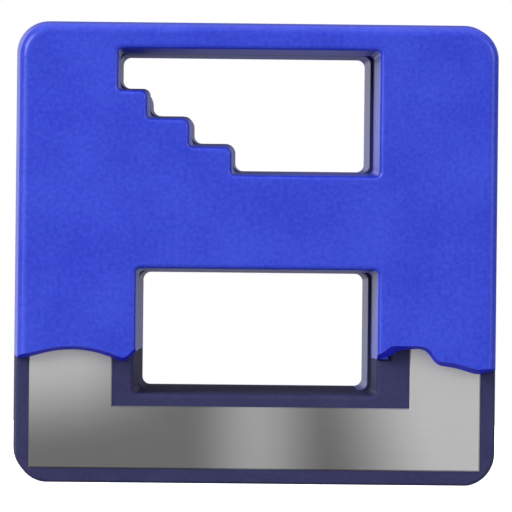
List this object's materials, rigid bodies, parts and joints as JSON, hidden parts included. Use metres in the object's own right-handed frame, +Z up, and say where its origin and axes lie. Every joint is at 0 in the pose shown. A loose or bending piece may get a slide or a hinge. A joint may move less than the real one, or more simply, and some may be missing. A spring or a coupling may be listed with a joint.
{
  "type": "screwdriver magnetiser",
  "caption": "Rectangular block with a stepped window that demagnetises a tool shaft and a plain window that magnetises it, cut away to show a U-shaped pole plate.",
  "frame": {"origin": "centre of the flat bottom, in the parting plane of the two case halves", "axes": "+X across the width, +Y from the front face to the back along the way a shaft passes through, +Z up"},
  "size_m": [0.0524, 0.028, 0.05],
  "materials": {
    "blue_plastic": "satin, finely mottled",
    "navy_plastic": "satin",
    "pole_steel": "brushed along its length",
    "ferrite": "ground, matt",
    "screw_steel": "zinc plated",
    "foam": "closed-cell foam"
  },
  "bodies": {
    "root": {"front_shell": "blue_plastic", "rear_shell": "blue_plastic", "magnet_cradle": "navy_plastic", "front_pole_plate": "pole_steel", "rear_pole_plate": "pole_steel", "left_magnet": "ferrite", "right_magnet": "ferrite", "base_magnet_left": "ferrite", "base_magnet_right": "ferrite", "demag_magnet": "ferrite", "case_screws": "screw_steel", "foam_pads": "foam"}
  },
  "joints": []
}
